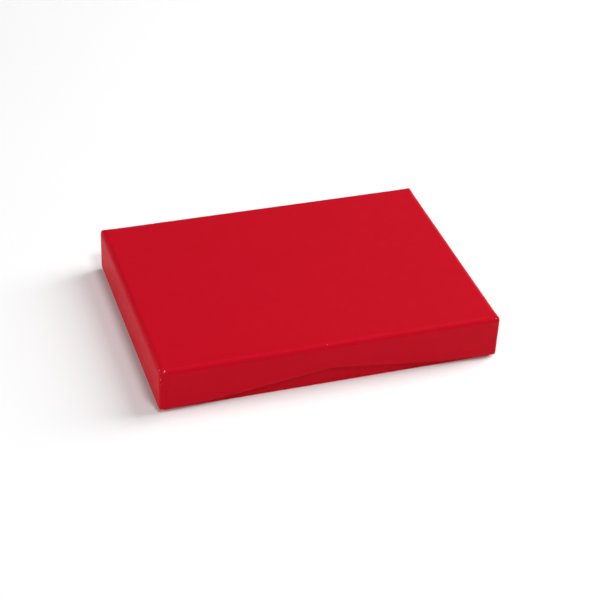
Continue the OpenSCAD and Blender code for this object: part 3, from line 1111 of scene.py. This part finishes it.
def make_surround():
    """A dim surround that is paler near the horizon, as a backdrop is."""
    world = bpy.data.worlds.new("studio")
    world.use_nodes = True
    tree = world.node_tree
    surround = tree.nodes["Background"]
    surround.inputs["Color"].default_value = (1.0, 1.0, 1.0, 1.0)
    parts = tree.nodes.new("ShaderNodeSeparateXYZ")
    tree.links.new(tree.nodes.new("ShaderNodeTexCoord").outputs["Generated"], parts.inputs[0])
    fade = tree.nodes.new("ShaderNodeMapRange")
    fade.interpolation_type = "SMOOTHSTEP"
    tree.links.new(parts.outputs["Z"], fade.inputs["Value"])
    for key, number in (("From Min", 0.12), ("From Max", 0.3), ("To Min", 0.85), ("To Max", 0.1)):
        fade.inputs[key].default_value = number
    tree.links.new(fade.outputs["Result"], surround.inputs["Strength"])
    bpy.context.scene.world = world


def make_studio():
    """A white floor and a pale surround, with softboxes: broad right, small in front, low left."""
    bm = bmesh.new()
    bmesh.ops.create_grid(bm, x_segments=8, y_segments=8, size=4.0)
    floor = mesh_object("floor", bm)
    floor.data.materials.append(studio_floor())
    make_surround()
    add_softbox("key", (0.95, 0.1, 0.9), 0.7, 1.3, 20.0)
    add_softbox("front", (0.1, -0.65, 1.13), 0.25, 0.25, 6.7)
    add_softbox("low_left", (-1.2, -0.1, 0.14), 1.0, 0.24, 6.3)
    bpy.context.scene.view_settings.view_transform = "Standard"


# ---------------------------------------------------------------- putting it together


def finish_piece(obj, node, body, slot, *materials):
    for material in materials:
        obj.data.materials.append(material)
    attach(obj, body)
    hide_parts(node)


def make_box_half(body, cover, core, board, tape, lining):
    """The five kinds of piece that make one half of the box, each in place of its CAD node."""
    is_lid = body == "lid"
    corners = [f"{fb}_{lr}" for fb in ("front", "back") for lr in ("left", "right")]
    low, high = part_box(f"{body}_corner_stay_front_left")
    leg = high.x - low.x
    wrap = make_lid_wrap() if is_lid else make_base_wrap()
    finish_piece(wrap, f"{body}_wrap", body, "cover_paper", cover, core)
    made_board = make_lid_board(leg) if is_lid else make_base_board(leg)
    finish_piece(made_board, f"{body}_board", body, "greyboard", board)
    liner_place = liner_place_lid if is_lid else upright
    liner = make_liner(f"{body}_lining", f"{body}_liner", liner_place, 0.4 * MM)
    finish_piece(liner, f"{body}_liner", body, "lining_paper", lining)
    skin_r = (LID_CORNER_R if is_lid else BASE_CORNER_R) - WRAP_T
    place = settled if is_lid else (lambda x, y, z: Vector((x, y, z)))
    for corner in corners:
        node = f"{body}_corner_stay_{corner}"
        stay = make_stay(f"{body}_tape_{corner}", node, skin_r, place)
        finish_piece(stay, node, body, "corner_tape", tape)


def make_pad():
    """The tray and what it holds, from the foam tapes beneath it to the cloth on top."""
    tray_finish = moulded_plastic("tray_plastic", tone(22, 22, 24), tone(31, 31, 33), 0.5, 0.56, 0.004 * MM)
    frame_finish = moulded_plastic(
        "frame_plastic", tone(50, 50, 54), tone(60, 60, 64), 0.34, 0.4, 0.0012 * MM
    )
    white_foam = foam()
    film = tape_film()
    for side in ("left", "right"):
        tape = make_foam_tape(f"foam_tape_{side}", f"tray_tape_{side}")
        finish_piece(tape, f"tray_tape_{side}", "base", "foam_tape", white_foam, film)
    finish_piece(make_tray(), "pad_tray", "base", "tray_plastic", tray_finish)
    finish_piece(make_frame(), "pad_frame", "base", "frame_plastic", frame_finish)
    finish_piece(make_backing(), "pad_backing", "base", "backing_card", backing_card())
    felt = inked_felt()
    for level in ("lower", "upper"):
        piece = make_felt(f"{level}_felt", f"felt_{level}", level == "upper")
        finish_piece(piece, f"felt_{level}", "base", "inked_felt", felt)
    cloth = make_cloth()
    finish_piece(cloth, "pad_cloth", "base", "inked_cloth", inked_cloth())


make_camera()
make_studio()
cover = cover_paper()
core = paper_core()
board_material = greyboard()
tape_material = corner_tape()
lining_material = lining_paper()
for half in ("lid", "base"):
    make_box_half(half, cover, core, board_material, tape_material, lining_material)
make_pad()
